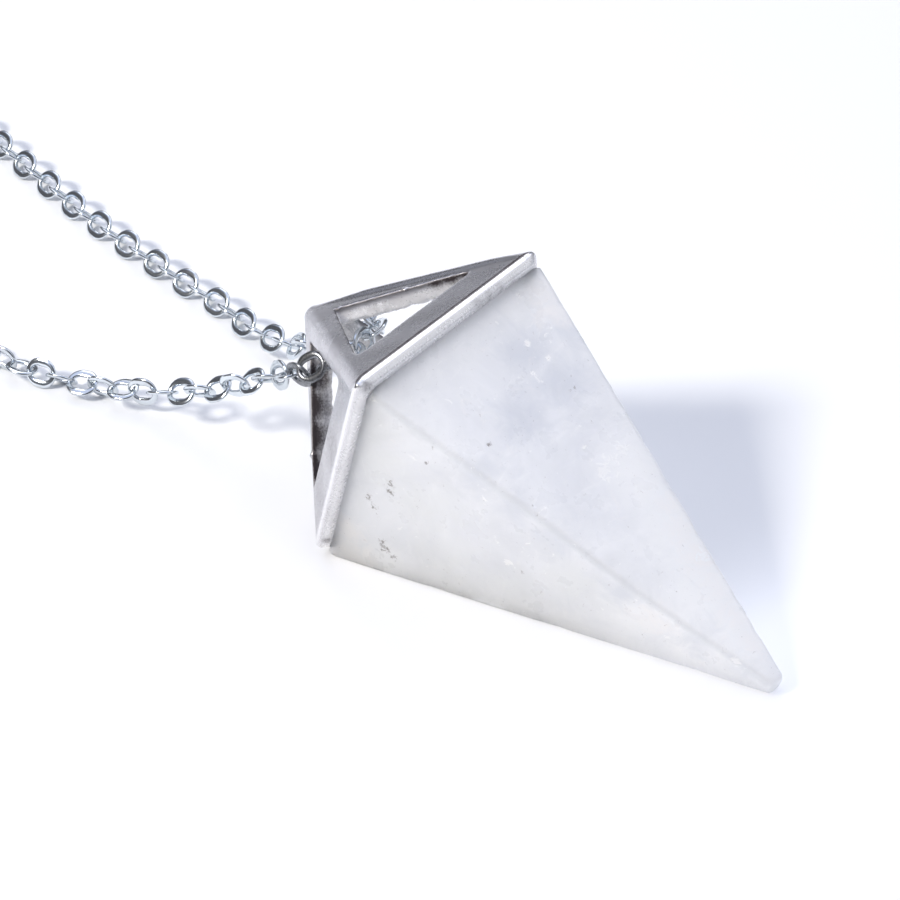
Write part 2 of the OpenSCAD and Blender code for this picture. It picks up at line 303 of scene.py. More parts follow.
def makeStone(settings):
    # Rounded squares carried down the axis: each outline is a straight-sided square of the inner
    # half width plus a unit direction times the corner radius, pushed in by the dips
    square, outward = stoneOutline(settings["flatSteps"], settings["ridgeSteps"])
    depth, half, radius = stoneRings(settings)
    ring = (half - radius)[:, None, None] * square + radius[:, None, None] * outward
    size = np.abs(ring)
    towardsCorner = fade(size.min(-1) / size.max(-1), *settings["gapCorner"])
    fill = settings["gap"] * (1 - fade(depth, 0, settings["gapRun"]))[:, None] * (1 - towardsCorner)
    height = settings["top"] + fill - depth[:, None]
    points = np.concatenate([ring, height[..., None]], -1)
    topPlain, tipPlain = settings["plainEnds"]
    body = (fade(depth, 0, topPlain) * fade(settings["length"] - depth, 0, tipPlain))[:, None]
    attributes = {key: markField(points, marks, settings) for key, marks in settings["marks"].items()}
    points[..., :2] -= outward * (stoneDip(points, settings) * body)[..., None]
    x, y = points[..., 0], points[..., 1]
    offRidge = np.where(x + y < 0, y - x, np.inf)
    sag, sagAt, sagRun, sagWide = settings["bow"]
    points[..., 1] += sag * bell(depth, sagAt, sagRun)[:, None] * bell(offRidge, 0, sagWide)
    rows, columns = ring.shape[:2]
    lids = fanFaces(columns)
    lids = np.vstack([lids[:, ::-1], lids + (rows - 1) * columns])
    thin = fade(depth, settings["clearFrom"], settings["clearRun"])
    attributes["thin"] = np.broadcast_to(thin[:, None], offRidge.shape)
    # painted shade: a greyer line beside the near ridge
    attributes["ridge"] = bell(offRidge, *settings["ridgeShade"]) * body
    return makePiece("stone_point", layDown(points.reshape(-1, 3)),
                     gridFaces(rows, columns, False, True)[:, ::-1], attributes, lids)


# Cap

capSet = {
    "half": 8.6,
    "shift": 0.4,           # how far the rim lies to one side of the point
    "height": 10.8,
    "wall": 1.2,
    "skirt": 0.65,
    "skirtIn": 0.4,
    "topCorner": 0.9,       # rounding of the upper and of the lower ridges at the rim
    "lowCorner": 1.8,
    "ridgeEnd": 0.91,       # share of the height where these ridges have the point's rounding
    "farCorner": 1.0,       # the ridge that makes the outline: its rounding at the rim
    "farRidge": 0.4,        # and further up, from this height
    "farLow": 2.0,
    "farHigh": 0.7,         # to this share of the cap's height
    "farEnd": 0.9,          # share of the height where it has the point's rounding
    "leastRadius": 0.1,
    "pointRadius": 0.85,
    "ballFrom": 0.64,       # the point is a ball above this share of its radius
    "rimRadius": 0.33,
    "rimBlend": 1.1,        # width of the rim's rounding, as a share of its radius
    "rimLess": 0.55,        # how much narrower it is along the lower front face
    "rimRun": 0.8,          # width over which it narrows, round the corner
    "topProud": 0.22,       # how far the uppermost face stands out
    "proudStep": 0.9,       # width of the soft step along its front edge
    "proudEnd": 0.9,        # share of the height where it no longer stands out
    "proudFade": 1.8,       # height over which it sinks back below that
    "outerWave": 0.0072,    # how far the hand-finished outside waves inwards
    "outerWaves": (3.0, 11),  # size and seed of its waves
    "innerWave": 0.09,      # how far the rough inside waves
    "innerWaves": [(0.75, 21, 0.6), (0.33, 22, 0.4)],  # size, seed and share of its waves
    "innerMore": 0.4,       # metal that the roughness adds, as a share of its waves
    "hollowCorner": 0.6,
    "hollowBlend": 0.16,    # rounding where the hollow meets the foot
    "footBlend": 0.09,      # rounding of the skirt's foot
    "sill": 3.0,            # metal below, beside and above each window
    "bar": 1.17,
    "crown": 3.26,
    "windowCorner": 0.8,    # rounding of the windows' corners, floor and edges
    "windowFloor": 0.1,
    "windowEdge": 0.05,
    "windowRough": 0.02,
    "scoop": ((-2.8, 1.7, 5.5), (-5.9, 4.8, 2.4), 0.6),  # thinned bar: from, to and radius
    "scoopRough": 0.08,
    "scoopBlend": 0.2,
    "nubs": [               # burrs left by the casting, on the inner edges: place and radius
        (-7.6, -5.8, 1.7, 0.13), (-5.7, 4.2, 3.8, 0.2), (2.7, -4.5, 5.2, 0.17), (0.0, -2.1, 8.0, 0.16),
        (0.5, -2.3, 7.7, 0.14), (-8.56, -8.56, -0.12, 0.28),
    ],
    "nubBlend": 0.12,
    "low": (-9.2, -9.2, -0.9),  # grid that the surface is found on: lowest and highest corner, step
    "high": (8.5, 8.5, 10.5),
    "step": 0.112,
    "sootAndShade": [               # dark leftovers of the casting and painted shade, on the inner walls: place, reach and strength
        (3.9, -5.6, 3.9, 0.55, 0.9), (4.5, -6.2, 3.3, 0.65, 1.0), (5.2, -6.7, 2.7, 0.55, 0.9),
        (0.6, -2.3, 8.1, 0.35, 0.7), (1.6, -3.2, 7.0, 0.3, 0.6), (2.6, -4.4, 5.6, 0.3, 0.6),
        (-2.9, 1.3, 6.6, 1.2, 1.0), (-3.8, 2.3, 5.5, 1.2, 1.1), (-4.8, 3.4, 4.3, 1.2, 1.1),
        (-5.9, 4.6, 3.1, 1.2, 1.0),
    ],
    "stainsAndShade": [             # dark marks on the outside: stains along the front skirt, painted shade and a painted dark reflection at two rim corners, and faint painted shade over the lower front face: place, reach and strength
        (-8.6, 6.4, -0.6, 0.45, 0.7), (-8.2, -8.5, -0.4, 0.5, 0.6), (2.2, -8.6, -0.6, 0.6, 0.5),
        (3.2, -8.5, -0.6, 0.6, 0.5), (4.3, -8.4, -0.6, 0.6, 0.5), (5.5, -8.3, -0.6, 0.6, 0.45),
        (-8.0, -5.5, 1.2, 2.2, 0.25), (-8.0, -1.0, 1.2, 3.0, 0.3), (-8.0, 4.0, 1.2, 3.0, 0.3),
    ],
    "sootAndShadeDepth": (0.04, 0.08),  # soot and painted shade show from this share of the wall's depth, more and more over this
    "surface": 0.1,         # what lies less deep than this share is the outside
    "paintedDarkReflection": (0.42, 0.21),  # painted dark reflection, a dark line over the front rim: how far above it, and its width
    "rimLine": 0.22,        # width of the line along the rim that is rubbed bright
    "frostDepth": (0.2, 0.3),  # matt parts: from this share of the wall's depth, over this
    "frostSkirt": (0.02, 0.45),  # and from this far below the rim, over this
    "cleanRim": 0.2,        # the inner walls' dullness grows over this distance from the rim
}


def roundSquare(x, y, half, radius):
    # Distance to a square with rounded corners, seen along the axis
    qx, qy = np.abs(x) - half + radius, np.abs(y) - half + radius
    return np.hypot(np.maximum(qx, 0), np.maximum(qy, 0)) + np.minimum(np.maximum(qx, qy), 0) - radius


def capAxes(points, settings):
    # Place from the slanting middle line, the share of the height left above, and the faces' slant
    x, y, z = np.moveaxis(points, -1, 0)
    share = 1 - z / settings["height"]
    slant = settings["height"] / np.hypot(settings["height"], settings["half"])
    return x + settings["shift"] * share, y + settings["shift"] * share, share, slant


def capFaces(points, settings):
    # Signed distance to the four sloping faces: a rounded square that shrinks with the height, times
    # the slant, and a ball at the point
    x, y, z = np.moveaxis(points, -1, 0)
    middleX, middleY, share, slant = capAxes(points, settings)
    height, half, ballRadius = settings["height"], settings["half"], settings["pointRadius"]
    tipRadius = ballRadius * slant
    corner = np.where(y < 0, settings["topCorner"], settings["lowCorner"])
    radius = corner + (tipRadius - corner) * z / (height * settings["ridgeEnd"])
    farZ = [0, settings["farLow"], height * settings["farHigh"], height * settings["farEnd"]]
    farRadii = [settings["farCorner"], settings["farRidge"], settings["farRidge"], tipRadius]
    farRadius = np.interp(z, farZ, farRadii)
    radius = np.where((y < 0) & (x > 0), farRadius, np.maximum(radius, settings["leastRadius"]))
    radius = np.minimum(radius, np.maximum(half * share, settings["leastRadius"]))
    slope = slant * roundSquare(middleX, middleY, half * share, radius)
    near = half + settings["shift"]
    ballZ = height - ballRadius * np.hypot(height, near) / near
    ball = np.sqrt(x * x + y * y + (z - ballZ) ** 2) - ballRadius
    return np.where(z > ballZ + ballRadius * settings["ballFrom"], np.maximum(ball, slope), slope)


def capOuter(points, settings):
    # Signed distance to the outside, and how far a point lies above the rim: the sloping faces and the
    # skirt meet in the rounded rim, the uppermost face stands out, and the whole waves a little
    x, y, z = np.moveaxis(points, -1, 0)
    middleX, middleY = capAxes(points, settings)[:2]
    height, half, shift = settings["height"], settings["half"], settings["shift"]
    slope = capFaces(points, settings)
    near = half + shift
    rimZ = -settings["rimRadius"] * (np.hypot(height, near) - height) / near
    draw = settings["skirtIn"] / (settings["skirt"] + rimZ)
    corner = np.where(x > 0, settings["farCorner"], settings["topCorner"])
    corner = np.where(y < 0, corner, settings["lowCorner"])
    skirt = roundSquare(x + shift, y + shift, half + draw * (z - rimZ), corner) / np.hypot(1, draw)
    rimShare = 1 - settings["rimLess"] * fade(y - x, -settings["rimRun"] / 2, settings["rimRun"])
    outer = smoothMax(slope, skirt, settings["rimRadius"] * settings["rimBlend"] * rimShare)
    proud = fade(middleX - np.abs(middleY), -settings["proudStep"], settings["proudStep"])
    proud = proud * fade(height * settings["proudEnd"] - z, 0, settings["proudFade"])
    outer = outer - settings["topProud"] * proud
    outer = outer + settings["outerWave"] * (1 + waves(points, *settings["outerWaves"]))
    return outer, slope - skirt


def capHollow(points, rough, settings):
    # Signed distance to the hollow: the faces moved in by the wall, straight down below the rim, rough
    x, y, z = np.moveaxis(points, -1, 0)
    middleX, middleY, share, slant = capAxes(points, settings)
    half, shift, corner = settings["half"], settings["shift"], settings["hollowCorner"]
    inset = settings["wall"] / slant
    faces = slant * roundSquare(middleX, middleY, half * share - inset, corner)
    foot = roundSquare(x + shift, y + shift, half - inset, corner)
    return np.where(z > 0, faces, foot) + settings["innerWave"] * (settings["innerMore"] + rough)


def capWindow(points, rough, turn, settings):
    # Signed distance to one face's window, a rounded triangle cut square to the face: the largest of
    # the distances past its slanting sides, its sill and its floor, which lies two walls deep. The
    # turn counts quarters from +y
    x, y, z = np.moveaxis(points, -1, 0)
    height, half, shift, sill = [settings[key] for key in ("height", "half", "shift", "sill")]
    out = (y, -x, -y, x)[turn]  # outwards from the face and along its rim
    run = (x, y, -x, -y)[turn]
    reachOut = half + shift if turn in (1, 2) else half - shift
    slide = run + (shift if turn < 2 else -shift) / 2
    faceLength, nearLength = np.hypot(height, reachOut), np.hypot(height, half + shift)
    up = ((reachOut - out) * reachOut + z * height) / faceLength
    beyond = ((out - reachOut) * height + z * reachOut) / faceLength
    width = 2 * half * (1 - sill / nearLength) - 2 * settings["bar"]
    tall = nearLength - sill - settings["crown"]
    sloping = ((np.abs(slide) - width / 2) * tall + (up - sill) * width / 2) / np.hypot(tall, width / 2)
    window = smoothMax(sloping, sill - up, settings["windowCorner"])
    window = smoothMax(window, -beyond - 2 * settings["wall"], settings["windowFloor"])
    window = np.where(out > 0, window, 1.0)  # one, so no window, on the opposite side
    return window + settings["windowRough"] * rough


def capScoop(points, rough, settings):
    # Signed distance to the scoop: a rough rod from one place to another
    start, end, radius = settings["scoop"]
    axis = np.subtract(end, start)
    share = np.clip((points - start) @ axis / (axis @ axis), 0, 1)
    gap = np.linalg.norm(points - start - share[..., None] * axis, axis=-1)
    return gap - radius + settings["scoopRough"] * rough


def capField(points, settings):
    # Signed distance to the cap, how deep a point lies in its wall and how far above the rim: the
    # outside down to the foot, less the hollow, the windows and the scoop, with the burrs added
    outer, aboveRim = capOuter(points, settings)
    rough = sum(waves(points, size, seed) * share for size, seed, share in settings["innerWaves"])
    metal = smoothMax(outer, -settings["skirt"] - points[..., 2], settings["footBlend"])
    metal = smoothMax(metal, -capHollow(points, rough, settings), settings["hollowBlend"])
    for turn in range(4):
        metal = smoothMax(metal, -capWindow(points, rough, turn, settings), settings["windowEdge"])
    metal = smoothMax(metal, -capScoop(points, rough, settings), settings["scoopBlend"])
    for *place, size in settings["nubs"]:
        nub = np.linalg.norm(points - place, axis=-1) - size
        metal = -smoothMax(-metal, -nub, settings["nubBlend"])
    return metal, np.clip(-outer / settings["wall"], 0, 1), aboveRim


def netSurface(field, low, step):
    # Surface where a field on a grid is zero: one point in each cell that it crosses, at the mean of
    # the crossings on the cell's edges, and one quad round each grid edge that it crosses
    inside = field < 0
    corners = np.array([(i, j, k) for i in (0, 1) for j in (0, 1) for k in (0, 1)])
    size = np.array(field.shape)
    count = sum(inside[i:size[0] - 1 + i, j:size[1] - 1 + j, k:size[2] - 1 + k].astype(np.int8)
                for i, j, k in corners)
    mixed = (count > 0) & (count < 8)
    cell = np.argwhere(mixed)
    number = np.full(mixed.shape, -1)
    number[mixed] = np.arange(len(cell))
    value = np.stack([field[tuple((cell + c).T)] for c in corners], 1)
    total, hits = np.zeros((len(cell), 3)), np.zeros(len(cell))
    for a in range(8):
        for b in range(a + 1, 8):
            if np.abs(corners[a] - corners[b]).sum() != 1:
                continue
            crossed = (value[:, a] < 0) != (value[:, b] < 0)
            t = (value[crossed, a] / (value[crossed, a] - value[crossed, b]))[:, None]
            total[crossed] += corners[a] + (corners[b] - corners[a]) * t
            hits[crossed] += 1
    points = low + (cell + total / hits[:, None]) * step
    quads = []
    for axis in range(3):
        order = [axis, (axis + 1) % 3, (axis + 2) % 3]
        flipped = np.transpose(inside, order)
        cells = np.transpose(number, order)
        first, second = flipped[:-1, 1:-1, 1:-1], flipped[1:, 1:-1, 1:-1]
        for outwards in (True, False):
            i, j, k = np.nonzero((first & ~second) if outwards else (~first & second))
            quad = [cells[i, j, k], cells[i, j + 1, k], cells[i, j + 1, k + 1], cells[i, j, k + 1]]
            quads.append(np.stack(quad if outwards else quad[::-1], 1))
    return points, np.vstack(quads)


def makeCap(settings):
    # The surface where the cap's field is zero, with soot, painted shade and a painted dark reflection,
    # matt parts and the bright rim as attributes
    low, high, step = settings["low"], settings["high"], settings["step"]
    axes = [np.arange(low[k], high[k], step) for k in range(3)]
    grid = np.stack(np.meshgrid(*axes, indexing="ij"), -1)
    points, quads = netSurface(capField(grid, settings)[0], np.array(low), step)
    _, depth, aboveRim = capField(points, settings)
    outside = depth < settings["surface"]
    # a painted dark reflection over the front rim, then soot with painted shade inside and the outer stains
    # with painted shade
    dark = bell(aboveRim, *settings["paintedDarkReflection"]) * (points[:, 1] < points[:, 0]) * outside
    for key, shown in (("sootAndShade", fade(depth, *settings["sootAndShadeDepth"])), ("stainsAndShade", 1)):
        for *place, wide, strength in settings[key]:
            gap = np.linalg.norm(points - place, axis=1)
            dark = np.maximum(dark, strength * bell(gap, 0, wide) * shown)
    return makePiece("cap_casting", layDown(points), quads, {
        "depth": depth * fade(aboveRim, 0, settings["cleanRim"]),
        "sootAndShade": dark,
        "frost": np.maximum(fade(depth, *settings["frostDepth"]), fade(-aboveRim, *settings["frostSkirt"])),
        "rim": bell(aboveRim, 0, settings["rimLine"]) * outside,
    })


# Clasp

claspSet = {
    "length": 7.0,
    "diameter": 2.2,
    "eyeRadius": 0.85,
    "eyeWire": 0.45,
    "turn": 45,             # turn of each eye about the barrel, one way and the other
    # half of the barrel's profile: share of the half length from the middle, share of the radius
    "profile": [
        (0.0, 0.90), (0.012, 0.90), (0.03, 0.985), (0.06, 1.0), (0.16, 1.0), (0.19, 0.985), (0.2, 0.94),
        (0.215, 0.93), (0.5, 0.93), (0.7, 0.925), (0.715, 0.94), (0.73, 0.985), (0.76, 1.0), (0.85, 1.0),
        (0.93, 0.96), (0.975, 0.84), (0.995, 0.66), (1.0, 0.45), (1.0, 0.2), (1.0, 0.04),
    ],
    "around": 40,
    "eyeGrid": (40, 12),    # grid points round an eye and round its wire
    "tone": 0.5,
}


def turnedProfile(x, radius, around):
    # Points of a profile turned about x: distance along x, and the radius times a unit circle
    a = np.arange(around) * 2 * np.pi / around
    surface = np.broadcast_arrays(x[:, None], radius[:, None] * np.cos(a), radius[:, None] * np.sin(a))
    return np.stack(surface, -1).reshape(-1, 3)


def wireRing(radius, wire, around, section):
    # Ring of round wire about z: a circle of the wire's radius carried round a circle
    u = (np.arange(around) * 2 * np.pi / around)[:, None]
    v = (np.arange(section) * 2 * np.pi / section)[None, :]
    out = radius + wire * np.cos(v)
    ring = np.broadcast_arrays(out * np.cos(u), out * np.sin(u), wire * np.sin(v))
    return np.stack(ring, -1).reshape(-1, 3)


def makeClasp(settings):
    # A turned barrel with closed ends, and a ring of wire at each end, turned one way and the other
    half = np.array(settings["profile"])
    profile = np.vstack([half[::-1] * [-1, 1], half[1:]]) * [settings["length"] / 2, settings["diameter"] / 2]
    around, wire = settings["around"], settings["eyeWire"] / 2
    lids = fanFaces(around)
    lids = np.vstack([lids, lids[:, ::-1] + (len(profile) - 1) * around])
    centre = (claspLow + claspHigh) / 2
    points = [turnedProfile(*profile.T, around) + centre]
    faces = [gridFaces(len(profile), around, False, True)]
    ring = wireRing(settings["eyeRadius"], wire, *settings["eyeGrid"])
    eyeAt = (claspHigh[0] - claspLow[0]) / 2 - settings["eyeRadius"] - wire
    for side in (-1, 1):
        turn = np.radians(settings["turn"] * side)
        turned = np.stack([ring[:, 0], ring[:, 1] * np.cos(turn) - ring[:, 2] * np.sin(turn),
                           ring[:, 1] * np.sin(turn) + ring[:, 2] * np.cos(turn)], 1)
        faces.append(gridFaces(*settings["eyeGrid"], True, True)[:, ::-1] + sum(map(len, points)))
        points.append(turned + centre + [side * eyeAt, 0, 0])
    points = np.vstack(points)
    tone = np.full(len(points), settings["tone"])
    return makePiece("clasp_barrel", points, np.vstack(faces), {"tone": tone}, lids)


# Chain and its route

chainSet = {
    "length": 2.28,         # outer size of a link
    "width": 2.02,
    "wire": 0.30,
    "play": 0.13,           # slack between two links
    "turn": 45,             # turn of each link about the chain, one way and the other
    # link and how far the strand turns there
    "twists": [(118, 180), (130, 0), (133, -38), (136, 30), (138, 60), (139, 88), (140, 75), (142, 20),
               (144, 0)],
    "shadedLinks": [138, 139, 140],  # links painted darker for the shade and dark reflections inside the cap, and how dark
    "shadedLinkTone": 4.5,
    "capPoint": 26,         # the route's point in the cap
    "nearRun": 41,          # lengths of chain before and after it whose links are the finer ones
    "farRun": 53,
    "topDrawn": (10.43, 10.92),  # y and z of the cap's top, for which the route is drawn
    "steps": 8,             # fine points between two of the route's points
    "sideBand": 0.56,       # width of the flattened wire at a link's sides and at its ends
    "endBand": 0.36,
    "thick": 0.26,
    "flatness": 0.75,       # one for a round section, less for a squarer one
    "nearGrid": (36, 10),   # grid points round a link and round its wire
    "farGrid": (12, 6),
}

# the chain's way as the part's source has it: x, y, z, and how far the strand is turned there
routePoints = np.array([
    [-2.6, 184, 1.1, 0], [-8, 183.8, 0.9, 0], [-20, 181.5, 0.8, 0], [-33, 174.5, 0.8, 0],
    [-43, 163, 0.8, 0], [-47, 149, 0.8, 0], [-45, 133, 0.8, 0], [-38, 116, 0.8, 0],
    [-29.5, 99, 0.8, 0], [-21.5, 82, 0.8, 0], [-15, 66, 0.8, 0], [-11, 52, 0.8, 0],
    [-9, 41, 0.8, 0], [-8.2, 32.3, 0.8, 0], [-7.5, 28.2, 0.8, 0], [-6.4, 24.8, 0.95, -10],
    [-5.4, 21.6, 1.4, 8], [-4.4, 18.2, 2.4, -8], [-3.7, 15.5, 3.6, 6], [-3, 12.8, 5.2, 0],
    [-2.8, 10.7, 6.6, 0], [-3, 9.4, 7.7, 0], [-3.4, 8.2, 8.5, 0], [-3.6, 7.1, 9.3, 0],
    [-3.4, 6.4, 10.2, 0], [-2.1, 5.8, 9.9, 0], [-0.4, 5.7, 10, 0], [1.1, 5.9, 9.7, 0],
    [2.3, 6.3, 9.7, 0], [3, 7.1, 9.2, 0], [3.8, 7.9, 8.7, 0], [4, 9.1, 7.3, 0],
    [3.5, 11.3, 5.7, 0], [3.7, 13.8, 3.5, 0], [4.5, 16.7, 1.7, 0], [4.9, 20, 1, 0],
    [5.6, 23.8, 0.8, 0], [5.8, 27.1, 0.8, 0], [6.1, 30.3, 0.8, 0], [6.8, 36.7, 0.8, 0],
    [7.9, 42.7, 0.8, 0], [9.9, 52, 0.8, 0], [14.5, 66, 0.8, 0], [22.5, 82, 0.8, 0],
    [32, 99, 0.8, 0], [42, 116, 0.8, 0], [49, 133, 0.8, 0], [51, 149, 0.8, 0],
    [47, 163, 0.8, 0], [37, 174.5, 0.8, 0], [24, 181.5, 0.8, 0], [12, 183.8, 0.9, 0],
    [6.6, 184, 1.1, 0],
])


def followCap(points, settings):
    # Each point of the route moves with the cap's top, by its share of the top's height
    drawnY, drawnZ = settings["topDrawn"]
    share = points[:, 2] / drawnZ
    moved = points.copy()
    moved[:, 1] += share * (capSet["height"] * np.cos(lieTilt) - drawnY)
    moved[:, 2] = share * (lieHeight + capSet["height"] * np.sin(lieTilt))
    return moved


def fineRoute(points, steps):
    # Cubic curve through the points, and its length up to each. The slope at a point is the mean of
    # the two chords there, each weighted by the other's length
    chord = np.linalg.norm(np.diff(points[:, :3], axis=0), axis=1)[:, None]
    step = np.diff(points, axis=0) / chord
    slope = np.vstack([step[:1], (step[1:] * chord[:-1] + step[:-1] * chord[1:]) / (chord[:-1] + chord[1:]),
                       step[-1:]])
    t = (np.arange(steps) / steps)[None, :, None]
    u = 1 - t
    d = chord[:, :, None]
    curve = (points[:-1, None] * u * u * (1 + 2 * t) + points[1:, None] * t * t * (3 - 2 * t)
             + slope[:-1, None] * d * t * u * u - slope[1:, None] * d * t * t * u)
    fine = np.vstack([curve.reshape(-1, points.shape[1]), points[-1:]])
    reach = np.concatenate([[0], np.cumsum(np.linalg.norm(np.diff(fine[:, :3], axis=0), axis=1))])
    return fine, reach


fine, reach = fineRoute(followCap(routePoints, chainSet), chainSet["steps"])
claspLow, claspHigh = [np.array(corner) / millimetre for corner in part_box("clasp")]
middle = np.array([
    (fine[:, 0].min() + fine[:, 0].max()) / 2,
    fine[0, 1] + (claspHigh[2] - claspLow[2]) / 2 - claspHigh[1],
    0,
])


def layDown(points):
    # From the pendant's own upright axes to the part's: turned onto one facet of the stone, then moved
    across, away, along = np.moveaxis(points, -1, 0)
    sine, cosine = np.sin(lieTilt), np.cos(lieTilt)
    return np.stack([
        across - middle[0],
        along * cosine + away * sine - middle[1],
        lieHeight + along * sine - away * cosine,
    ], -1)


def linkFrames(settings):
    # Middle and three axes of every link, and the first and last of those near the cap. The axes run
    # along the route, across it and square to both, turned about it one way and the other
    firstAt = (settings["length"] - settings["wire"]) / 2 - (claspSet["eyeWire"] + settings["wire"]) / 2
    firstAt -= settings["play"]
    fullPitch = settings["length"] - 2 * settings["wire"] - settings["play"]
    span = reach[-1] - 2 * firstAt
    gaps = int(np.ceil(span / fullPitch))
    pitch = span / gaps
    number = np.arange(gaps + 1)
    place = firstAt + number * pitch

    def along(distance):
        return np.stack([np.interp(distance, reach, fine[:, k]) for k in range(3)], 1)

    centre = along(place)
    heading = along(place + pitch / 2) - along(place - pitch / 2)
    heading /= np.linalg.norm(heading, axis=1)[:, None]
    level = np.cross([0, 0, 1], heading)
    level /= np.linalg.norm(level, axis=1)[:, None]
    rise = np.cross(heading, level)
    side = np.where(number % 2 == 0, 1, -1)
    extra = np.interp(number, *np.transpose(settings["twists"]))
    turn = np.radians(settings["turn"] * side + np.interp(place, reach, fine[:, 3]) + extra)[:, None]
    across = level * np.cos(turn) + rise * np.sin(turn)
    square = np.cross(heading, across)
    capAt = reach[settings["capPoint"] * settings["steps"]]
    nearLink = round((capAt - settings["nearRun"] - firstAt) / pitch)
    farLink = round((capAt + settings["farRun"] - firstAt) / pitch)
    return centre - middle, np.stack([heading, across, square], 1), nearLink, farLink


def linkShape(settings, around, section):
    # Loop of flattened wire: its outer edge is a ring drawn out along x, and its band, a rounded
    # rectangle in section, widens from the ends to the sides
    u = ((np.arange(around) + 0.5) * 2 * np.pi / around)[:, None]
    v = ((np.arange(section) + 0.5) * 2 * np.pi / section)[None, :]
    band = settings["endBand"] + (settings["sideBand"] - settings["endBand"]) * np.sin(u) ** 2
    inward = np.sign(np.cos(v)) * np.abs(np.cos(v)) ** settings["flatness"]
    upward = np.sign(np.sin(v)) * np.abs(np.sin(v)) ** settings["flatness"]
    radius = settings["width"] / 2 - band / 2 + band / 2 * inward
    x = radius * np.cos(u) + np.sign(np.cos(u)) * (settings["length"] - settings["width"]) / 2
    z = upward * settings["thick"] / 2 + 0 * u
    return np.stack([x, radius * np.sin(u), z], -1).reshape(-1, 3)


def makeLinks(name, chosen, grid, settings):
    # The chosen links: one link's shape, carried to each middle and turned to its axes
    centre, axes = linkCentre[chosen], linkAxes[chosen]
    local = linkShape(settings, *grid)
    points = centre[:, None] + np.einsum("pk,lkj->lpj", local, axes)
    points[..., 2] -= np.minimum(points[..., 2].min(1), 0)[:, None]  # none reaches into the table
    faces = gridFaces(*grid, True, True)[:, ::-1]
    tone = np.random.default_rng(len(chosen)).uniform(0, 1, len(chosen))
    # painted shade and dark reflections on the links inside the cap
    tone[np.isin(chosen, settings["shadedLinks"])] = settings["shadedLinkTone"]
    return makePiece(name, points.reshape(-1, 3), repeatFaces(faces, len(chosen), len(local)),
                     {"tone": np.repeat(tone, len(local))})


# Materials

def newTree(name):
    # Material with its tree of nodes and its main shader
    material = bpy.data.materials.new(name)
    material.use_nodes = True
    return material, material.node_tree, material.node_tree.nodes["Principled BSDF"]


def addNode(tree, kind, inputs=None, **settings):
    # A node with its properties set, and its inputs set to values or joined to sockets
    node = tree.nodes.new(kind)
    for key, value in settings.items():
        setattr(node, key, value)
    for key, value in (inputs or {}).items():
        if isinstance(value, bpy.types.NodeSocket):
            tree.links.new(value, node.inputs[key])
        else:
            node.inputs[key].default_value = value
    return node


def readAttribute(tree, name):
    # One of a piece's own values, as put there by makePiece
    return addNode(tree, "ShaderNodeAttribute", attribute_name=name).outputs["Fac"]


def objectPlace(tree):
    # Place on the piece, in metres
    return addNode(tree, "ShaderNodeTexCoord").outputs["Object"]


def addRamp(tree, factor, stops):
    # Colours or greys, each at its place between zero and one
    ramp = addNode(tree, "ShaderNodeValToRGB", {"Fac": factor})
    elements = ramp.color_ramp.elements
    while len(elements) < len(stops):
        elements.new(0.5)
    for element, (place, shade) in zip(elements, stops):
        element.position = place
        element.color = (*shade, 1) if isinstance(shade, tuple) else (shade, shade, shade, 1)
    return ramp.outputs["Color"]


def addNoise(tree, vector, scale, detail, rough, distortion=0):
    # Noise between zero and one, with about as many clouds in a metre as its scale
    return addNode(tree, "ShaderNodeTexNoise", {"Vector": vector, "Scale": scale, "Detail": detail,
                                               "Roughness": rough, "Distortion": distortion}).outputs["Fac"]


def mathNode(tree, operation, a, b, clamp=False):
    # Sum, difference or product of two values, kept between zero and one where it is clamped
    return addNode(tree, "ShaderNodeMath", {0: a, 1: b}, operation=operation, use_clamp=clamp).outputs[0]


def mixColours(tree, factor, a, b):
    # The first colour where the factor is zero, the second where it is one
    return addNode(tree, "ShaderNodeMix", {0: factor, 6: a, 7: b}, data_type="RGBA").outputs[2]


def addBump(tree, shader, height, strength, distance):
    # Relief that the shader shows, its depth in millimetres
    bump = addNode(tree, "ShaderNodeBump", {"Height": height, "Strength": strength,
                                           "Distance": distance * millimetre})
    tree.links.new(bump.outputs["Normal"], shader.inputs["Normal"])


silverSet = {
    "cloud": (0.47, 0.6),   # the clouds' middle tone, and how much they dull or clear the skin
    "cloudNoise": (5, 0.6),  # their detail and roughness
    "pitNoise": (5200, 3, 0.6),  # fine pits: scale, detail and roughness
    "pitRough": 0.12,       # how much the pits change the roughness
    "pitHeight": (0.1, 0.9),  # their height where it shines, and how much more where it is dull
    "frostColour": (0.93, 0.92, 0.92, 1),
    "frostLess": 0.7,       # how much less metallic the matt parts are
    "rubbedColour": (0.95, 0.94, 0.94, 1),
    "rubbedSmooth": 0.13,   # how much smoother the rubbed parts are
    # the two finishes: polished and unpolished colour and roughness, scale of the clouds, bump
    "cast": {"Bright": (0.61, 0.60, 0.62, 1), "Dull": (0.085, 0.072, 0.075, 1), "Smooth": 0.26,
             "Coarse": 0.7, "Cloud scale": 420},
    "castBump": (0.3, 0.05),
    "chain": {"Bright": (0.75, 0.80, 0.84, 1), "Dull": (0.13, 0.13, 0.14, 1), "Smooth": 0.14,
              "Coarse": 0.3, "Cloud scale": 900},
    "chainBump": (0.2, 0.05),
    "chainDull": 0.18,      # how much a link's tone dulls it
    # the cap's soot, painted shade and painted dark reflection: noise that breaks them up (scale, detail,
    # roughness, distortion), gain and ramp
    "sootAndShadeNoise": (7000, 7, 0.8, 0.5),
    "sootAndShadeGain": 1.9,
    "sootAndShadeRamp": [(0.2, 0.0), (1.0, 0.95)],
    "wallRamp": [(0.012, 0.0), (0.05, 0.75), (0.15, 0.5), (0.35, 0.05), (1.0, 0.05)],  # dullness by depth
}


